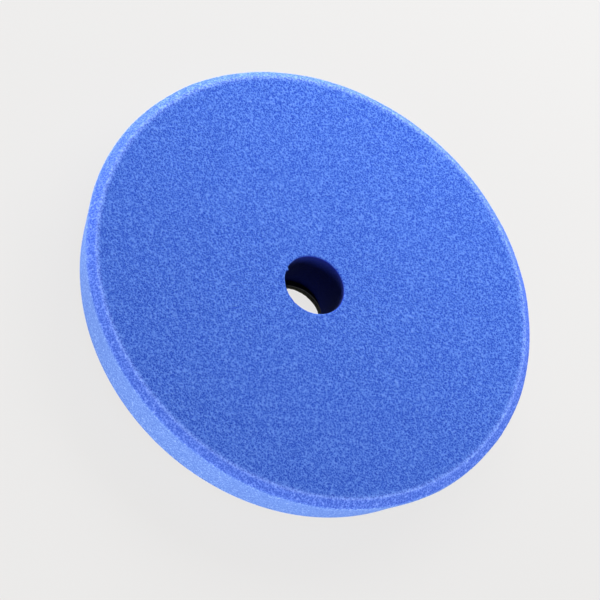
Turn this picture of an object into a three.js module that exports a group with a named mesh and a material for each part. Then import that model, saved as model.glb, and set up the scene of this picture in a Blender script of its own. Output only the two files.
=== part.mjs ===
// A foam machine-polishing pad with a hook-and-loop back.
//
// The pad lies with its loops down. Sizes are in millimetres. +Z is the pad's axis, from the loops
// towards the polishing face, and the origin is the centre of the loop face, at the bottom.
// Each layer is a ring round the centre hole, turned from its cross-section.

import * as THREE from 'three';

// Driving dimensions

const padDiameter = 165.6;      // across the ridge where bevel and side wall meet, before rounding
const faceDiameter = 160;       // across the flat polishing face
const foamBackDiameter = 155.4; // across the foam where it meets the backing
const backingDiameter = 150;    // the loop disc, cut for a 150 mm backing plate
const holeDiameter = 22.2;      // the centring hole, through every layer

const pileHeight = 2;           // raised loops
const baseFabricHeight = 0.7;   // knitted ground of the loop cloth
const filmHeight = 0.4;         // hot-melt bond
const foamHeight = 20.4;
const bevelDrop = 2.3;          // how far the bevel falls from the face to the ridge

const faceEdgeRound = 1.2;      // the foam's cut edges are slightly rounded
const ridgeRound = 1.4;
const backEdgeRound = 0.5;
const holeEdgeRound = 0.4;

const facetsAround = 96;
const facetsPerRound = 3;

// Heights of the layers' faces above the table

const pileTop = pileHeight;
const baseFabricTop = pileTop + baseFabricHeight;
const filmTop = baseFabricTop + filmHeight;
const foamTop = filmTop + foamHeight;

const holeRadius = holeDiameter / 2;
const backingRadius = backingDiameter / 2;

// A point of a cross-section: its distance from the pad's axis, and its height.
function at(radius, height) {
  return new THREE.Vector2(radius, height);
}

// The points of an arc that rounds the corner between two straight sides and is tangent to both.
function roundedCorner(before, corner, after, roundRadius) {
  const toBefore = before.clone().sub(corner).normalize();
  const toAfter = after.clone().sub(corner).normalize();
  const halfAngle = Math.acos(toBefore.dot(toAfter)) / 2;
  const middle = toBefore.clone().add(toAfter).normalize();
  const centre = corner.clone().addScaledVector(middle, roundRadius / Math.sin(halfAngle));

  const tangentLength = roundRadius / Math.tan(halfAngle);
  const start = corner.clone().addScaledVector(toBefore, tangentLength).sub(centre);
  const end = corner.clone().addScaledVector(toAfter, tangentLength).sub(centre);
  const turn = Math.atan2(start.cross(end), start.dot(end));

  const points = [];
  for (let i = 0; i <= facetsPerRound; i++) {
    const arm = start.clone().rotateAround(new THREE.Vector2(), (turn * i) / facetsPerRound);
    points.push(centre.clone().add(arm));
  }
  return points;
}

// A ring turned from a closed cross-section, whose points run up the outside and down the hole.
function turnedRing(name, section, material) {
  const geometry = new THREE.LatheGeometry([...section, section[0].clone()], facetsAround);
  geometry.rotateX(Math.PI / 2);
  const ring = new THREE.Mesh(geometry, material);
  ring.name = name;
  return ring;
}

// A flat layer of the backing, as wide as the loop disc.
function backingLayer(name, bottom, top, material) {
  const section = [
    at(holeRadius, bottom),
    at(backingRadius, bottom),
    at(backingRadius, top),
    at(holeRadius, top),
  ];
  return turnedRing(name, section, material);
}

// The foam: a flat face, a shallow bevel out to the ridge, a side wall that tapers in towards the
// backing, and the straight wall of the hole.
function foamPad() {
  const holeBack = at(holeRadius, filmTop);
  const backEdge = at(foamBackDiameter / 2, filmTop);
  const ridge = at(padDiameter / 2, foamTop - bevelDrop);
  const faceEdge = at(faceDiameter / 2, foamTop);
  const holeEdge = at(holeRadius, foamTop);

  const section = [
    holeBack,
    ...roundedCorner(holeBack, backEdge, ridge, backEdgeRound),
    ...roundedCorner(backEdge, ridge, faceEdge, ridgeRound),
    ...roundedCorner(ridge, faceEdge, holeEdge, faceEdgeRound),
    ...roundedCorner(faceEdge, holeEdge, holeBack, holeEdgeRound),
  ];
  const blueFoam = new THREE.MeshStandardMaterial({ color: 0x4d73db, roughness: 0.95, metalness: 0 });
  return turnedRing('foam_pad', section, blueFoam);
}

function adhesiveFilm() {
  const blackHotMelt = new THREE.MeshStandardMaterial({ color: 0x080b14, roughness: 0.45, metalness: 0 });
  return backingLayer('adhesive_film', baseFabricTop, filmTop, blackHotMelt);
}

function loopBaseFabric() {
  const darkKnit = new THREE.MeshStandardMaterial({ color: 0x1c1d1b, roughness: 0.9, metalness: 0 });
  return backingLayer('loop_base_fabric', pileTop, baseFabricTop, darkKnit);
}

function loopPile() {
  const greyLoops = new THREE.MeshStandardMaterial({ color: 0x33352b, roughness: 0.85, metalness: 0 });
  return backingLayer('loop_pile', 0, pileTop, greyLoops);
}

const polishingPad = new THREE.Group();
polishingPad.add(foamPad(), adhesiveFilm(), loopBaseFabric(), loopPile());

export default polishingPad;
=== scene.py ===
import math

import bpy
import numpy as np
from mathutils import Matrix, Vector


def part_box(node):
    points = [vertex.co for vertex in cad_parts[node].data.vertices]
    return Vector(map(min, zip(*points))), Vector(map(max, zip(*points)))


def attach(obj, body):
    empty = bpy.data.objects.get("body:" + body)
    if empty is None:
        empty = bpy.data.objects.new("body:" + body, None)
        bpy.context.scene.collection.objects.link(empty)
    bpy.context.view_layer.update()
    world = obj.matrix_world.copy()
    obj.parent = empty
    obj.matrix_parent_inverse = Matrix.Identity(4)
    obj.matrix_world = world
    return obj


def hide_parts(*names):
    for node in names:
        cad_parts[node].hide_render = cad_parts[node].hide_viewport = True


# A blue foam polishing pad, lying on its loops on a pale lit table.
# Lengths are in metres, so that 3 * mm is three millimetres, and +Z is the pad's axis.

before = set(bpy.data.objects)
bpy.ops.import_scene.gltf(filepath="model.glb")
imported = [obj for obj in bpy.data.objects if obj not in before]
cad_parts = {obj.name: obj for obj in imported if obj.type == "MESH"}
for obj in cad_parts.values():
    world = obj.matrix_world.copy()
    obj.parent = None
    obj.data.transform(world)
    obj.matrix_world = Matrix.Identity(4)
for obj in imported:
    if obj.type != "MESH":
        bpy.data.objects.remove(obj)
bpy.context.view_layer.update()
print("frame loaded:", ", ".join(sorted(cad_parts)))

mm = 0.001
foamLow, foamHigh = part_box("foam_pad")
filmLow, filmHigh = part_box("adhesive_film")
groundLow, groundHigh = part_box("loop_base_fabric")
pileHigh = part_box("loop_pile")[1]
faceHeight = foamHigh.z
backingRadius = groundHigh.x


def smooth(low, high, value):
    # 0 below low, 1 above high, and an S-curve between them
    t = np.clip((value - low) / (high - low), 0, 1)
    return t * t * (3 - 2 * t)


def linearColour(hexText):
    # sRGB hex, as a paint chart gives it, to the linear light that shaders take
    srgb = [int(hexText[i:i + 2], 16) / 255 for i in (1, 3, 5)]
    return (*(c / 12.92 if c <= 0.04045 else ((c + 0.055) / 1.055) ** 2.4 for c in srgb), 1)


def addNode(tree, kind, settings=None, inputs=None):
    # a shader node with its settings; an input is a value, or another node's output to link
    node = tree.nodes.new(kind)
    for name, value in (settings or {}).items():
        setattr(node, name, value)
    for name, value in (inputs or {}).items():
        if isinstance(value, bpy.types.NodeSocket):
            tree.links.new(value, node.inputs[name])
        else:
            node.inputs[name].default_value = value
    return node


def newMaterial(name):
    # an empty node material with its output node
    material = bpy.data.materials.new(name)
    material.use_nodes = True
    material.node_tree.nodes.clear()
    return material, addNode(material.node_tree, "ShaderNodeOutputMaterial")


def setStops(ramp, stops):
    # gives a colour ramp node its (place, hex) stops
    while len(ramp.color_ramp.elements) < len(stops):
        ramp.color_ramp.elements.new(0.5)
    for element, (place, hexText) in zip(ramp.color_ramp.elements, stops):
        element.position = place
        element.color = linearColour(hexText)
    return ramp.outputs["Color"]


def gridQuads(rows, columns):
    # the quads of a grid that closes on itself both ways
    i = np.arange(rows)[:, None]
    j = np.arange(columns)[None, :]
    iNext = (i + 1) % rows
    jNext = (j + 1) % columns
    corners = (i * columns + j, i * columns + jNext, iNext * columns + jNext, iNext * columns + j)
    return np.stack(corners, axis=-1).reshape(-1, 4)


def meshPiece(name, points, quads, material, attributes=None):
    # a smooth-shaded piece from an array of points and an array of quads
    mesh = bpy.data.meshes.new(name)
    mesh.vertices.add(len(points))
    mesh.vertices.foreach_set("co", np.asarray(points, np.float32).ravel())
    mesh.loops.add(quads.size)
    mesh.loops.foreach_set("vertex_index", quads.astype(np.int32).ravel())
    mesh.polygons.add(len(quads))
    mesh.polygons.foreach_set("loop_start", np.arange(0, quads.size, 4, dtype=np.int32))
    mesh.update(calc_edges=True)
    mesh.shade_smooth()
    for key, values in (attributes or {}).items():
        made = mesh.attributes.new(key, "FLOAT", "POINT")
        made.data.foreach_set("value", np.asarray(values, np.float32).ravel())
    mesh.materials.append(material)
    piece = bpy.data.objects.new(name, mesh)
    bpy.context.scene.collection.objects.link(piece)
    return piece


def scatter(cells, seed):
    # a repeatable number from 0 to 1 for each whole-number cell, by mixing its bits
    mixed = (cells[..., 0] * 73856093) ^ (cells[..., 1] * 19349663) ^ (cells[..., 2] * 83492791)
    mixed = (mixed ^ (seed * 2654435761)) & 0xFFFFFFFF
    mixed = ((mixed ^ (mixed >> 15)) * 2246822519) & 0xFFFFFFFF
    mixed = ((mixed ^ (mixed >> 13)) * 3266489917) & 0xFFFFFFFF
    return ((mixed ^ (mixed >> 16)) & 0xFFFFFF) / float(0x1000000)


def softNoise(points, size, seed):
    # smooth noise from -1 to 1: the corners of a cubic lattice of that size hold scattered
    # numbers, and each point blends its eight corners
    where = points / size
    cell = np.floor(where).astype(np.int64)
    part = where - cell
    part = part * part * (3 - 2 * part)
    total = 0
    for corner in np.ndindex(2, 2, 2):
        weight = np.prod(np.where(np.array(corner), part, 1 - part), axis=-1)
        total = total + weight * scatter(cell + np.array(corner), seed)
    return total * 2 - 1


def bubbles(points, size, seed):
    # cut foam cells: every lattice cube holds one jittered bubble centre; returns how far each
    # point is from its bubble's wall, in bubble sizes, and a number of that bubble's own
    where = points / size
    home = np.floor(where).astype(np.int64)
    nearest = np.full(where.shape[:-1], 9.0)
    second = nearest.copy()
    own = np.zeros_like(nearest)
    for step in np.ndindex(3, 3, 3):
        cell = home + np.array(step) - 1
        centre = cell + np.stack([scatter(cell, seed + k) for k in range(3)], axis=-1)
        away = np.linalg.norm(where - centre, axis=-1)
        closer = away < nearest
        second = np.where(closer, nearest, np.minimum(second, away))
        own = np.where(closer, scatter(cell, seed + 3), own)
        nearest = np.where(closer, away, nearest)
    return second - nearest, own


def outlineOf(corners):
    # a closed outline of (radius, height): each corner is (radius, height, rounding, spacing),
    # rounded by an arc tangent to both sides, and the straight side after it is cut into steps of
    # that spacing
    places = np.array([c[:2] for c in corners], float)
    arcs = []
    for i, (_, _, rounding, _) in enumerate(corners):
        before = places[i - 1] - places[i]
        after = places[(i + 1) % len(corners)] - places[i]
        before, after = before / np.linalg.norm(before), after / np.linalg.norm(after)
        half = math.acos(np.clip(before @ after, -1, 1)) / 2
        middle = (before + after) / np.linalg.norm(before + after)
        centre = places[i] + middle * rounding / math.sin(half)
        reach = rounding / math.tan(half)
        start, end = places[i] + before * reach - centre, places[i] + after * reach - centre
        turn = math.atan2(start[0] * end[1] - start[1] * end[0], start @ end)
        steps = max(3, math.ceil(abs(turn) * rounding / (0.4 * mm)))
        angles = np.linspace(0, turn, steps + 1)[:, None]
        across = np.array([-start[1], start[0]])
        arcs.append(centre + np.cos(angles) * start + np.sin(angles) * across)
    outline = []
    for i, arc in enumerate(arcs):
        gap = arcs[(i + 1) % len(arcs)][0] - arc[-1]
        steps = max(2, math.ceil(np.linalg.norm(gap) / corners[i][3]))
        outline.append(arc)
        outline.append(arc[-1] + gap * np.linspace(0, 1, steps + 1)[1:-1, None])
    return np.concatenate(outline)


def outlineNormals(outline):
    # outward directions of a closed outline that runs up its outer side
    along = np.roll(outline, -1, axis=0) - np.roll(outline, 1, axis=0)
    out = np.stack([along[:, 1], -along[:, 0]], axis=-1)
    return out / np.linalg.norm(out, axis=-1, keepdims=True)


punchedHole = {
    "radius": 11.1 * mm,
    "foamOffset": (0.3 * mm, 0.3 * mm),        # the punch met the foam a little off the axis
    "backingOffset": (1.9 * mm, -0.65 * mm),   # the loop disc, punched apart, sits further off
}


def punched(points, offset):
    # points near the hole, moved off the axis with it; the shift fades out across the pad
    near = smooth(45 * mm, 14 * mm, np.linalg.norm(points[..., :2], axis=-1))
    return points + near[..., None] * np.array([*offset, 0])


def turned(outline, columns):
    # an outline turned round the axis: the points, their outward directions and their angles
    around = np.linspace(0, 2 * np.pi, columns, endpoint=False)

    def swept(pairs):
        radial, height = pairs[:, 0, None], pairs[:, 1, None] + 0 * around
        return np.stack([radial * np.cos(around), radial * np.sin(around), height], axis=-1)

    points = swept(outline)
    return points, swept(outlineNormals(outline)), around + 0 * points[..., 0]


cameraView = {
    "elevation": 54.6,    # degrees above the pad's plane
    "azimuth": 0.0,
    "roll": 43.0,         # the camera is turned, so that the pad seems to stand on its rim
    "distance": 1.985,
    "lensMm": 349.3,
    "sensorMm": 36.0,
    "shiftRight": 4.7 * mm,   # how far the face's centre lies from the middle of the picture
    "shiftUp": 5.25 * mm,
}


def awayFromPad(azimuth, elevation):
    # the direction at those degrees round the pad from its -Y side, and above its plane
    turn, rise = math.radians(azimuth), math.radians(elevation)
    level = math.cos(rise)
    return Vector((math.sin(turn) * level, -math.cos(turn) * level, math.sin(rise)))


def placeCamera(v):
    data = bpy.data.cameras.new("camera")
    data.lens = v["lensMm"]
    data.sensor_width = v["sensorMm"]
    data.clip_start, data.clip_end = 0.05, 500
    camera = bpy.data.objects.new("camera", data)
    bpy.context.scene.collection.objects.link(camera)
    back = awayFromPad(v["azimuth"], v["elevation"])
    level = (-back).to_track_quat("-Z", "Y").to_matrix()
    facing = level @ Matrix.Rotation(math.radians(v["roll"]), 3, "Z")
    target = Vector((0, 0, faceHeight)) - facing @ Vector((v["shiftRight"], v["shiftUp"], 0))
    camera.matrix_world = Matrix.Translation(target + back * v["distance"]) @ facing.to_4x4()
    bpy.context.scene.camera = camera


placeCamera(cameraView)
print("camera placed")


foamShape = {
    "faceRadius": 80.0 * mm,
    "ridgeRadius": 82.8 * mm,
    "backRadius": 77.7 * mm,
    "bevelDrop": 2.3 * mm,
    "faceEdgeRound": 1.0 * mm,
    "ridgeRound": 1.4 * mm,
    "backEdgeRound": 0.5 * mm,
    "holeEdgeRound": 0.35 * mm,
    "holeBackRound": 0.3 * mm,
    "columns": 1100,          # one about every half millimetre at the ridge
    "fineStep": 0.45 * mm,    # from one row to the next on the rim and in the hole
    "faceStep": 0.5 * mm,
    "hiddenStep": 3.0 * mm,   # on the glued back
    "cellSize": 1.15 * mm,    # the larger cells, which the mesh can hold
    "cellDepth": 0.1 * mm,
    "fuzzSize": 0.7 * mm,
    "fuzz": 0.03 * mm,
    "longWave": 26 * mm,      # slow waves that the slicing knife leaves
    "shortWave": 9 * mm,
    "sag": 0.1 * mm,          # how far they take the face from flat
    "wobble": 0.22 * mm,      # how far they take the cut rim from round
    "tearAngle": 196.0,       # degrees round the hole, where its rim is torn
    "tearDepth": 0.05 * mm,
    "tearHeight": 7 * mm,     # how far down the hole's wall the tear reaches
    "flap": 0.7 * mm,         # a scrap of foam beside the tear that hangs into the hole
    "flapAngle": 2.4,         # half its width, in degrees round the hole
    "flapHeight": 3.5 * mm,
    "crumbSize": 0.45 * mm,
    "crumbs": 0.16 * mm,      # how far the crumbs round the tear stand out
    "faceEdgeHighlight": 0.3,          # how much paler the painted highlight makes the foam's two edges, where they catch the light
    "ridgeHighlight": 0.08,
}


def makeFoam(s, material):
    # the foam body: its cut outline turned round the axis, then moved along its own outward
    # direction by the cut cells, by slow waves of the slicing knife, and by the tear at the hole
    low, high, holeRadius = foamLow.z, foamHigh.z, punchedHole["radius"]
    outline = outlineOf([
        (holeRadius, low, s["holeBackRound"], s["hiddenStep"]),
        (s["backRadius"], low, s["backEdgeRound"], s["fineStep"]),
        (s["ridgeRadius"], high - s["bevelDrop"], s["ridgeRound"], s["fineStep"]),
        (s["faceRadius"], high, s["faceEdgeRound"], s["faceStep"]),
        (holeRadius, high, s["holeEdgeRound"], s["fineStep"]),
    ])
    points, outward, around = turned(outline, s["columns"])
    radius, height = outline[:, 0, None], outline[:, 1, None]
    steep = np.abs(outlineNormals(outline)[:, 0, None])   # 0 on the flat face, 1 on an upright wall

    # struts between the cells stay proud, and each cell is cut to its own depth
    bent = points + 0.35 * s["cellSize"] * softNoise(points, s["cellSize"], seed=5)[..., None]
    wall, own = bubbles(bent, s["cellSize"], seed=11)
    pit = smooth(0.05, 0.5, wall) * (0.4 + 0.6 * own)
    slow = softNoise(points, s["longWave"], seed=31)
    slow = slow + 0.5 * softNoise(points, s["shortWave"], seed=41)
    out = -s["cellDepth"] * pit + s["fuzz"] * softNoise(points, s["fuzzSize"], seed=21)
    out = out + slow * (s["sag"] + (s["wobble"] - s["sag"]) * steep)
    seen = smooth(low - 0.2 * mm, low + 1.0 * mm, height)   # the glued side stays flat

    # the tear: a scrap left hanging inwards, with the rim pulled out beside it, and crumbs;
    # offset is the angle from the tear in degrees, and each part fades out over some of them
    offset = np.degrees(np.mod(around - math.radians(s["tearAngle"]) + np.pi, 2 * np.pi) - np.pi)
    nearFace = high - 1 * mm
    pulled = smooth(1, 4, offset) * smooth(30, 16, offset)
    scrap = np.exp(-(offset / s["flapAngle"]) ** 2)
    scrap = scrap * smooth(high - s["flapHeight"], nearFace, height)
    crumbs = smooth(-26, -6, offset) * smooth(26, 6, offset)
    ragged = softNoise(points * [1, 1, 0.5], s["crumbSize"], seed=61)
    atHole = smooth(0.9 * mm, 0, radius - holeRadius)
    atHole = atHole * smooth(high - s["tearHeight"], nearFace, height)
    tear = atHole * (s["tearDepth"] * pulled - s["flap"] * scrap + s["crumbs"] * crumbs * ragged)
    sideways = np.stack([np.cos(around), np.sin(around), 0 * around], axis=-1)
    moved = points + outward * (out * seen)[..., None] + sideways * tear[..., None]

    # for the material: which cut shows, the side wall or the bevel, which take paler painted-light
    # colours;
    # the painted highlight along the two edges; and how deep in the hole it lies, in millimetres,
    # for the painted shade there
    atRim = radius > 60 * mm
    sideWall = atRim * smooth(-0.5 * mm, 0.3 * mm, high - s["bevelDrop"] - height)
    bevel = atRim * smooth(s["faceRadius"] - 0.9 * mm, s["faceRadius"] + 0.1 * mm, radius)
    # painted highlight: a pale band along the face's edge and a fainter one along the ridge, where
    # these convex edges catch the light
    fromEdge = radius - s["faceRadius"] + 0.35 * mm
    highlightWidth = np.where(fromEdge > 0, 0.45 * mm, 0.9 * mm)
    faceEdgeLight = np.exp(-(fromEdge / highlightWidth) ** 2) * (1 - sideWall)
    ridgeLight = np.exp(-((height - high + s["bevelDrop"] + 0.5 * mm) / (0.6 * mm)) ** 2)
    paintedEdgeHighlight = atRim * (s["faceEdgeHighlight"] * faceEdgeLight + s["ridgeHighlight"] * ridgeLight)
    # how deep in the hole a point lies, which the material turns into painted shade
    holeDepth = (high - height) / mm * (radius < holeRadius + 0.6 * mm)
    everyColumn = np.ones(around.shape)
    attributes = {
        "sideWall": sideWall * everyColumn,
        "bevel": bevel * everyColumn,
        "paintedEdgeHighlight": paintedEdgeHighlight * everyColumn,
        "holeDepth": holeDepth * everyColumn,
    }
    placed = punched(moved, punchedHole["foamOffset"]).reshape(-1, 3)
    return meshPiece("foamPad", placed, gridQuads(*around.shape), material, attributes)


foamFinish = {
    "cellMm": 0.66,               # open cells of about 40 to the inch
    "strutMm": 0.38,              # the mottle of struts and pits within the cells
    "blotchMm": 1.8,              # slow changes of tone in the dyed block
    "warpMm": 0.8,                # the cells are bent out of round by noise of this size,
    "warpReachMm": 0.5,           # by up to this much
    "cellShare": 0.8,             # how much each pattern adds to the height of the surface,
    "blotchShare": 0.22,          # beside the struts' own share of 1
    "heightRange": (0.59, 1.60),  # the lowest pits and the highest struts of that sum
    "bumpMm": 0.22,
    "bump": 0.5,
    "knifeRelief": 0.65,          # how much of the bump the knife leaves on the bevel and side wall
    "highlightRange": (0.4, 1.7),      # how much of the painted highlight the pits take, and the struts
    "highlightColour": "#8eabf4",
    "bloomColour": "#b8ccff",
    "bloom": 0.05,
    "faceStops": [(0.0, "#173290"), (0.25, "#2d4ca0"), (0.55, "#3f61b1"), (1.0, "#5574bd")],
    # painted light: paler copies of the face's colours for the bevel and the side wall, where more
    # light falls
    "paintedLightBevelStops": [(0.0, "#2d49ad"), (0.3, "#4160bb"), (0.6, "#5370c9"), (1.0, "#708ddb")],
    "paintedLightWallStops": [(0.0, "#4462ae"), (0.3, "#5473b8"), (0.6, "#6180c0"), (1.0, "#849ed5")],
    # painted shade down the hole's wall, from navy just under the rim to near black
    "paintedHoleShadeStops": [(0.0, "#2638a8"), (0.3, "#0b165e"), (1.0, "#081352")],
    "paintedHoleShadeMm": (0.2, 2.4),    # the depths in the hole that those stops run between
    "paintedHoleShadeFadeMm": 0.6,            # the depth at which they have taken over from the face's
}


def foamMaterial(f):
    # open-cell polyurethane foam, sliced from a dyed block: matt, with fine pits that hold shade
    # between lighter struts, a dusty bloom at grazing angles, and no gloss
    material, output = newMaterial("slicedBluePolyurethaneFoam")
    tree = material.node_tree
    place = addNode(tree, "ShaderNodeTexCoord").outputs["Object"]
    warp = addNode(tree, "ShaderNodeTexNoise", None, {
        "Vector": place, "Scale": 1 / (f["warpMm"] * mm), "Detail": 1.0, "Roughness": 0.5})
    bent = addNode(tree, "ShaderNodeVectorMath", {"operation": "MULTIPLY_ADD"}, {
        0: warp.outputs["Color"], 1: (f["warpReachMm"] * mm,) * 3, 2: place})
    cells = addNode(tree, "ShaderNodeTexVoronoi", {"feature": "F1"}, {
        "Vector": bent.outputs[0], "Scale": 1 / (f["cellMm"] * mm)})
    struts = addNode(tree, "ShaderNodeTexNoise", None, {
        "Vector": place, "Scale": 1 / (f["strutMm"] * mm), "Detail": 2.0, "Roughness": 0.6})
    blotch = addNode(tree, "ShaderNodeTexNoise", None, {
        "Vector": place, "Scale": 1 / (f["blotchMm"] * mm), "Detail": 2.0, "Roughness": 0.5})
    # high on the struts between the cells, low inside them
    height = addNode(tree, "ShaderNodeMath", {"operation": "MULTIPLY_ADD"}, {
        0: cells.outputs["Distance"], 1: f["cellShare"], 2: struts.outputs["Fac"]})
    height = addNode(tree, "ShaderNodeMath", {"operation": "MULTIPLY_ADD"}, {
        0: blotch.outputs["Fac"], 1: f["blotchShare"], 2: height.outputs[0]})
    height = addNode(tree, "ShaderNodeMapRange", {"interpolation_type": "SMOOTHSTEP"}, {
        "Value": height.outputs[0], "From Min": f["heightRange"][0],
        "From Max": f["heightRange"][1]}).outputs["Result"]
    # painted light: the bevel takes a paler, more violet copy of the face's colours and the side
    # wall a paler one still, for the side light that falls on them; the wall's is partly also the
    # knife's finer cut
    measured = {name: addNode(tree, "ShaderNodeAttribute", {"attribute_name": name}).outputs["Fac"]
                for name in ("bevel", "sideWall", "paintedEdgeHighlight", "holeDepth")}
    colour = setStops(addNode(tree, "ShaderNodeValToRGB", None, {"Fac": height}), f["faceStops"])
    for name, stops in (("bevel", f["paintedLightBevelStops"]), ("sideWall", f["paintedLightWallStops"])):
        cut = setStops(addNode(tree, "ShaderNodeValToRGB", None, {"Fac": height}), stops)
        colour = addNode(tree, "ShaderNodeMix", {"data_type": "RGBA"}, {
            0: measured[name], 6: colour, 7: cut}).outputs[2]
    # painted highlight: the two edges are coloured paler, as where they catch the light, most on
    # the struts that stand proud
    proud = addNode(tree, "ShaderNodeMapRange", None, {
        "Value": height, "To Min": f["highlightRange"][0], "To Max": f["highlightRange"][1]})
    paintedEdgeHighlight = addNode(tree, "ShaderNodeMath", {"operation": "MULTIPLY"}, {
        0: measured["paintedEdgeHighlight"], 1: proud.outputs["Result"]})
    colour = addNode(tree, "ShaderNodeMix", {"data_type": "RGBA"}, {
        0: paintedEdgeHighlight.outputs[0], 6: colour, 7: linearColour(f["highlightColour"])}).outputs[2]
    # painted shade: the hole's wall is coloured darker the deeper it lies, navy just under the rim
    # and near black further down
    deep = addNode(tree, "ShaderNodeMapRange", None, {
        "Value": measured["holeDepth"], "From Min": f["paintedHoleShadeMm"][0],
        "From Max": f["paintedHoleShadeMm"][1]}).outputs["Result"]
    dark = setStops(addNode(tree, "ShaderNodeValToRGB", None, {"Fac": deep}), f["paintedHoleShadeStops"])
    inHole = addNode(tree, "ShaderNodeMapRange", {"interpolation_type": "SMOOTHSTEP"}, {
        "Value": measured["holeDepth"], "From Min": 0.0,
        "From Max": f["paintedHoleShadeFadeMm"]}).outputs["Result"]
    colour = addNode(tree, "ShaderNodeMix", {"data_type": "RGBA"}, {
        0: inHole, 6: colour, 7: dark}).outputs[2]
    # the knife leaves the rim's two cuts smoother than the sliced face
    knife = addNode(tree, "ShaderNodeMapRange", None, {
        "Value": measured["bevel"], "To Min": 1.0, "To Max": f["knifeRelief"]})
    relief = addNode(tree, "ShaderNodeMath", {"operation": "MULTIPLY"}, {
        0: height, 1: knife.outputs["Result"]})
    bump = addNode(tree, "ShaderNodeBump", None, {
        "Strength": f["bump"], "Distance": f["bumpMm"] * mm, "Height": relief.outputs[0]})
    shader = addNode(tree, "ShaderNodeBsdfPrincipled", None, {
        "Base Color": colour, "Roughness": 0.95, "IOR": 1.5, "Specular IOR Level": 0.04,
        "Sheen Weight": f["bloom"], "Sheen Roughness": 0.5,
        "Sheen Tint": linearColour(f["bloomColour"]), "Normal": bump.outputs["Normal"]})
    tree.links.new(shader.outputs["BSDF"], output.inputs["Surface"])
    return material


foam = makeFoam(foamShape, foamMaterial(foamFinish))
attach(foam, "root")
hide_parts("foam_pad")
print("foam pad made:", len(foam.data.polygons), "faces")


backingShape = {
    "columns": 360,
    "edgeStep": 0.3 * mm,     # from one row to the next on the cut edges
    "flatStep": 4 * mm,
    "filmRound": 0.14 * mm,
    "groundRound": 0.2 * mm,
    "footRound": 0.3 * mm,
    "squeeze": 0.18 * mm,     # how far the film has crept past the cloth in places
    "creepSize": 6 * mm,      # the length of those places, and of the smaller ones among them
    "creepGrain": 1.8 * mm,
    "wale": 1.3 * mm,         # from one rib of the knitted ground to the next
    "ribSwell": 0.04 * mm,
    "yarnSize": 1.1 * mm,
    "yarnSwell": 0.06 * mm,
    "footHeight": 0.85 * mm,  # how deep the matted foot of the pile is
    "footStep": 0.7 * mm,
    "footClump": 1.2 * mm,    # the size of the clumps that its filaments make
    "footGrain": 0.8 * mm,
    "footLump": 0.22 * mm,    # how far they stand out
    "holeFoot": 0.75 * mm,    # the punch presses the pile together, so the foot is deeper there
    "rimFoot": 0.3 * mm,
}


def layerRing(s, low, high, rounding, step, columns):
    # a flat layer of the backing, from the hole out to the backing's edge, with steps of that
    # size on its underside: the points, their outward directions, and their distances from the
    # hole and from the outer edge
    holeRadius = punchedHole["radius"]
    outline = outlineOf([
        (holeRadius, low, rounding, step),
        (backingRadius, low, rounding, s["edgeStep"]),
        (backingRadius, high, rounding, s["flatStep"]),
        (holeRadius, high, rounding, s["edgeStep"]),
    ])
    points, outward, around = turned(outline, columns)
    return points, outward, outline[:, 0, None] - holeRadius, backingRadius - outline[:, 0, None]


def backingPiece(name, points, material):
    # a layer of the backing as a mesh, with its hole off the axis
    placed = punched(points, punchedHole["backingOffset"])
    return meshPiece(name, placed.reshape(-1, 3), gridQuads(*points.shape[:2]), material)


def makeFilm(s, material):
    # the film: a thin ring whose two cut edges creep in and out by slow noise
    points, outward, fromHole, fromRim = layerRing(
        s, filmLow.z, filmHigh.z, s["filmRound"], s["flatStep"], s["columns"])
    atEdge = smooth(2 * mm, 0.4 * mm, np.minimum(fromHole, fromRim))
    creep = softNoise(points, s["creepSize"], seed=71)
    creep = creep + 0.5 * softNoise(points, s["creepGrain"], seed=72)
    points = points + outward * [1, 1, 0] * (s["squeeze"] * creep * atEdge)[..., None]
    return backingPiece("adhesiveFilm", points, material)


def makeGround(s, material):
    # the knitted ground cloth: a thin ring whose cut edges swell a little at every rib
    points, outward, _, _ = layerRing(
        s, groundLow.z, groundHigh.z, s["groundRound"], s["flatStep"], s["columns"] * 3)
    ribs = np.sin(2 * np.pi * points[..., :2] / s["wale"]).prod(axis=-1)
    swell = s["ribSwell"] * ribs + s["yarnSwell"] * softNoise(points, s["yarnSize"], seed=81)
    points = points + outward * [1, 1, 0] * swell[..., None]
    return backingPiece("loopGround", points, material)


def makeFoot(s, material):
    # the matted foot of the pile: a ring whose underside and edges are lumpy, like filaments
    # pressed together, and which reaches further down at its two cut edges
    columns = int(2 * np.pi * backingRadius / s["footStep"])
    points, outward, fromHole, fromRim = layerRing(
        s, pileHigh.z - s["footHeight"], pileHigh.z, s["footRound"], s["footStep"], columns)
    below = smooth(pileHigh.z, pileHigh.z - 0.3 * mm, points[..., 2])
    gap, own = bubbles(points, s["footClump"], seed=91)
    matted = smooth(0.0, 0.5, gap) * (0.5 + own) + softNoise(points, s["footGrain"], seed=92) - 0.6
    lump = s["footLump"] * matted * (0.35 + 0.65 * smooth(0, 1.5 * mm, fromHole))
    deeper = s["holeFoot"] * smooth(1.6 * mm, 0.2 * mm, fromHole)
    deeper = deeper + s["rimFoot"] * smooth(2 * mm, 0.2 * mm, fromRim)
    points = points + outward * (lump * below)[..., None]
    points = points - np.array([0, 0, 1]) * (deeper * below)[..., None]
    return backingPiece("loopFoot", points, material)


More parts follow.
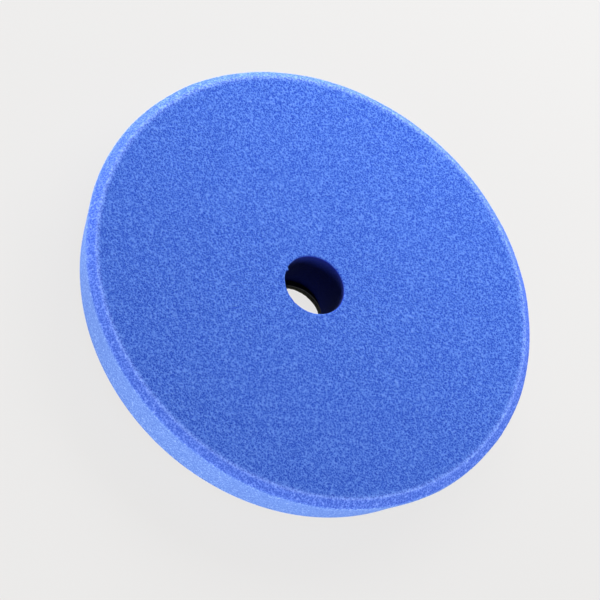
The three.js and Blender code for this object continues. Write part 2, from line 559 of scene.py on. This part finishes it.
loopShape = {
    "spacing": 1.32 * mm,
    "edgeSpacing": 0.8,       # in the rows along the two cut edges, as a share of the spacing
    "jitter": 0.42,           # how far a loop strays from its place, as a share of the spacing
    "yarn": 0.17 * mm,        # radius of a loop's yarn, drawn as one thread
    "width": (0.9 * mm, 1.5 * mm),
    "buriedMm": (0.35, 0.6),  # how far below the ground cloth the top of a loop's oval lies
    "lowSpreadMm": 0.3,       # how unevenly the loops reach down
    "turnSpread": 0.7,        # radians, how far a loop turns from the line of the knit
    "lean": 0.5,              # how far a loop leans over, for each unit of its height
    "clearance": 0.03 * mm,   # the lowest loops only just miss the table
    "holeGap": 1.0 * mm,
    "rimGap": 0.55 * mm,
    "steps": 9,
    "sides": 3,
    "parts": 4,
    "seed": 20,
}


def loopPlaces(s, rng):
    # a jittered square lattice clipped to the ring, and a row along each of its two cut edges
    inner, outer = punchedHole["radius"] + s["holeGap"], backingRadius - s["rimGap"]
    line = np.arange(-outer, outer, s["spacing"])
    places = np.stack(np.meshgrid(line, line), axis=-1).reshape(-1, 2)
    places = places + rng.uniform(-s["jitter"], s["jitter"], places.shape) * s["spacing"]
    radius = np.linalg.norm(places, axis=1)
    places = places[(radius > inner) & (radius < outer)]
    rows = []
    for rim in (inner, outer):
        count = int(2 * np.pi * rim / (s["edgeSpacing"] * s["spacing"]))
        around = (np.arange(count) + rng.uniform(-0.3, 0.3, count)) * 2 * np.pi / count
        rows.append(np.stack([rim * np.cos(around), rim * np.sin(around)], axis=-1))
    return np.concatenate([places, *rows])


def makeLoops(s, material):
    # nylon loops: each is a thin yarn carried round a closed upright oval, whose upper part lies
    # in the matted foot; the oval leans to one side as it goes down, and its yarn swells a little
    rng = np.random.default_rng(s["seed"])
    places = loopPlaces(s, rng)
    count = len(places)
    turn = rng.normal(np.pi / 2, s["turnSpread"], count)[:, None]
    width = rng.uniform(*s["width"], count)[:, None] / 2
    top = pileHigh.z - rng.uniform(*s["buriedMm"], count)[:, None] * mm
    uneven = np.abs(rng.normal(0, s["lowSpreadMm"], count))[:, None] * mm
    low = s["clearance"] + s["yarn"] + uneven
    lean = rng.normal(0, s["lean"], count)[:, None]
    # fewer steps round the hidden upper part of the oval than round the lower one
    share = 2 * np.pi * np.linspace(0, 1, s["steps"], endpoint=False)
    oval = (share + 0.55 * np.sin(share))[None, :] - np.pi / 2
    down = (1 - np.sin(oval)) / 2
    along = np.stack([np.cos(turn), np.sin(turn), 0 * turn], axis=-1)
    side = np.stack([-np.sin(turn), np.cos(turn), 0 * turn], axis=-1)
    centre = np.concatenate([places, top], axis=1)[:, None, :]
    centre = centre + (width * np.cos(oval))[..., None] * along
    centre = centre + (lean * (top - low) / 2 * down ** 1.5)[..., None] * side
    centre = centre - ((top - low) * down)[..., None] * np.array([0, 0, 1])
    # the yarn's own round, square to the oval
    tangent = np.roll(centre, -1, axis=1) - np.roll(centre, 1, axis=1)
    tangent = tangent / np.linalg.norm(tangent, axis=-1, keepdims=True)
    outwards = np.cross(tangent, side)
    outwards = outwards / np.linalg.norm(outwards, axis=-1, keepdims=True)
    beside = np.cross(tangent, outwards)   # this way round, the faces point out of the yarn
    section = np.linspace(0, 2 * np.pi, s["sides"], endpoint=False)[:, None]
    ring = outwards[:, :, None] * np.cos(section) + beside[:, :, None] * np.sin(section)
    thick = s["yarn"] * (0.8 + 0.35 * down)
    points = centre[:, :, None] + ring * thick[..., None, None]
    points[..., 2] = np.maximum(points[..., 2], s["clearance"])
    points = punched(points, punchedHole["backingOffset"])
    quads = gridQuads(s["steps"], s["sides"])
    sector = np.floor((np.arctan2(places[:, 1], places[:, 0]) / (2 * np.pi) % 1) * s["parts"])
    pieces = []
    for part in range(s["parts"]):
        mine = points[sector == part]
        first = np.arange(len(mine))[:, None, None] * s["steps"] * s["sides"]
        allQuads = (quads + first).reshape(-1, 4)
        pieces.append(meshPiece(f"nylonLoops{part + 1}", mine.reshape(-1, 3), allQuads, material))
    return pieces


def noisyMaterial(name, f):
    # a matt or satin material with one fine pattern: the noise, which mostly lies between 0.3 and
    # 0.7, sets its colour, its bump, and how rough it is
    material, output = newMaterial(name)
    tree = material.node_tree
    place = addNode(tree, "ShaderNodeTexCoord").outputs["Object"]
    stretch = addNode(tree, "ShaderNodeMapping", None, {"Vector": place, "Scale": f["stretch"]})
    noise = addNode(tree, "ShaderNodeTexNoise", None, {
        "Vector": stretch.outputs["Vector"], "Scale": 1 / (f["grainMm"] * mm),
        "Detail": 3.0, "Roughness": 0.6}).outputs["Fac"]
    spread = addNode(tree, "ShaderNodeMapRange", None, {
        "Value": noise, "From Min": 0.3, "From Max": 0.7}).outputs["Result"]
    rough = addNode(tree, "ShaderNodeMapRange", None, {
        "Value": noise, "From Min": 0.3, "From Max": 0.7,
        "To Min": f["roughness"][0], "To Max": f["roughness"][1]}).outputs["Result"]
    colour = setStops(addNode(tree, "ShaderNodeValToRGB", None, {"Fac": spread}), f["stops"])
    bump = addNode(tree, "ShaderNodeBump", None, {
        "Strength": 0.7, "Distance": f["bumpMm"] * mm, "Height": spread})
    shader = addNode(tree, "ShaderNodeBsdfPrincipled", None, {
        "Base Color": colour, "Roughness": rough, "IOR": 1.5, "Specular IOR Level": f["gloss"],
        "Sheen Weight": f["sheen"], "Sheen Roughness": 0.4,
        "Sheen Tint": linearColour(f["sheenColour"]), "Normal": bump.outputs["Normal"]})
    tree.links.new(shader.outputs["BSDF"], output.inputs["Surface"])
    return material


# black hot-melt adhesive, rolled on as a film and set under a press: satin, with slow ripples
filmFinish = {
    "stretch": (1, 1, 1),
    "grainMm": 1.6,
    "bumpMm": 0.15,
    "roughness": (0.35, 0.55),
    "gloss": 0.4,
    "sheen": 0.0,
    "sheenColour": "#a5a793",
    "stops": [(0.0, "#06080c"), (1.0, "#12151c")],
}
# warp-knitted nylon, dark and matt: half a rib of the knit to one blotch, drawn out along the rib
groundFinish = {
    "stretch": (1, 0.3, 1),
    "grainMm": 0.65,
    "bumpMm": 0.2,
    "roughness": (0.75, 0.95),
    "gloss": 0.2,
    "sheen": 0.1,
    "sheenColour": "#a5a793",
    "stops": [(0.0, "#0b0c0a"), (1.0, "#1d1f1a")],
}
# nylon filaments matted together: no gloss, with painted shade that darkens the gaps between them;
# the real filaments are about 0.05 mm thick, and the pattern is ten times as coarse so that it
# shows
footFinish = {
    "stretch": (1, 1, 1),
    "grainMm": 0.5,
    "bumpMm": 0.3,
    "roughness": (0.8, 1.0),
    "gloss": 0.15,
    "sheen": 0.2,
    "sheenColour": "#a5a793",
    "stops": [(0.0, "#16170f"), (0.6, "#2d2f22"), (1.0, "#484a3b")],
}
# olive-grey nylon yarn, textured and brushed: a soft sheen, and a tone that changes by the loop
loopFinish = {
    "stretch": (1, 1, 0.4),
    "grainMm": 1.4,
    "bumpMm": 0.1,
    "roughness": (0.55, 0.75),
    "gloss": 0.3,
    "sheen": 0.35,
    "sheenColour": "#a5a793",
    "stops": [(0.0, "#24261a"), (0.5, "#3a3c2e"), (1.0, "#5a5b4a")],
}

film = makeFilm(backingShape, noisyMaterial("pressedHotMeltFilm", filmFinish))
ground = makeGround(backingShape, noisyMaterial("warpKnittedNylonGround", groundFinish))
foot = makeFoot(backingShape, noisyMaterial("mattedNylonFilament", footFinish))
loops = makeLoops(loopShape, noisyMaterial("brushedNylonLoopYarn", loopFinish))
backing = [(film, "adhesive_film", "hot_melt"), (ground, "loop_base_fabric", "loop_ground")]
backing += [(piece, "loop_pile", "loop_pile") for piece in (foot, *loops)]
for piece, node, slotName in backing:
    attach(piece, "root")
    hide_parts(node)
print("backing made:", sum(len(piece.data.polygons) for piece in loops), "faces of loops")


tableTop = {
    "size": 14.0,
    "coveHeight": 0.8,
    "colour": "#e6e5e4",
    "glow": 0.97,
    "bounce": 0.045,          # how much of the lamps' light it throws back
}


def makeTable(t):
    # opal acrylic lit from below, as on a product table: pale, even, and with faint shadows
    material, output = newMaterial("opalAcrylicTable")
    tree = material.node_tree
    shader = addNode(tree, "ShaderNodeBsdfPrincipled", None, {
        "Base Color": (t["bounce"], t["bounce"], t["bounce"], 1), "Roughness": 0.6,
        "Specular IOR Level": 0.0, "Emission Color": linearColour(t["colour"]),
        "Emission Strength": t["glow"]})
    tree.links.new(shader.outputs["BSDF"], output.inputs["Surface"])
    half = t["size"] / 2
    # the top, and a cove that stands round its edge, so that a low camera sees no horizon
    square = np.array([(-half, -half, 0), (half, -half, 0), (half, half, 0), (-half, half, 0)])
    corners = np.concatenate([square, square + [0, 0, t["coveHeight"]]])
    sides = [[(i + 1) % 4, i, i + 4, (i + 1) % 4 + 4] for i in range(4)]
    meshPiece("table", corners, np.array([[0, 1, 2, 3]]), material)
    meshPiece("cove", corners, np.array(sides), material)


lamps = [
    # azimuth 0 is the -Y side, where the camera stands, and 90 is the +X side
    {"name": "upperLeft", "azimuth": 234, "elevation": 9, "distance": 1.1,
     "size": (0.6, 0.3), "watts": 20},
    {"name": "lowLeft", "azimuth": 295, "elevation": 5, "distance": 1.2,
     "size": (1.2, 0.16), "watts": 14},
    {"name": "near", "azimuth": 28, "elevation": 12, "distance": 1.2,
     "size": (0.9, 0.25), "watts": 16.5},
    {"name": "far", "azimuth": 190, "elevation": 40, "distance": 0.45,
     "size": (0.5, 0.3), "watts": 4.5},
    {"name": "right", "azimuth": 72, "elevation": 12, "distance": 1.2,
     "size": (1.0, 0.2), "watts": 4.5},
]
skyLight = {"colour": "#e8e9ec", "strength": 0.18}


def makeLamp(lamp):
    data = bpy.data.lights.new(lamp["name"], "AREA")
    data.shape = "RECTANGLE"
    data.size, data.size_y = lamp["size"]
    data.energy = lamp["watts"]
    light = bpy.data.objects.new(lamp["name"], data)
    bpy.context.scene.collection.objects.link(light)
    away = awayFromPad(lamp["azimuth"], lamp["elevation"])
    light.location = Vector((0, 0, faceHeight)) + away * lamp["distance"]
    light.rotation_mode = "QUATERNION"
    light.rotation_quaternion = (-away).to_track_quat("-Z", "Y")
    light.visible_camera = False


makeTable(tableTop)
for lamp in lamps:
    makeLamp(lamp)
world = bpy.data.worlds.new("studio")
world.use_nodes = True
sky = world.node_tree.nodes["Background"]
sky.inputs["Color"].default_value = linearColour(skyLight["colour"])
sky.inputs["Strength"].default_value = skyLight["strength"]
bpy.context.scene.world = world
bpy.context.scene.view_settings.view_transform = "Standard"
print("table and light made")
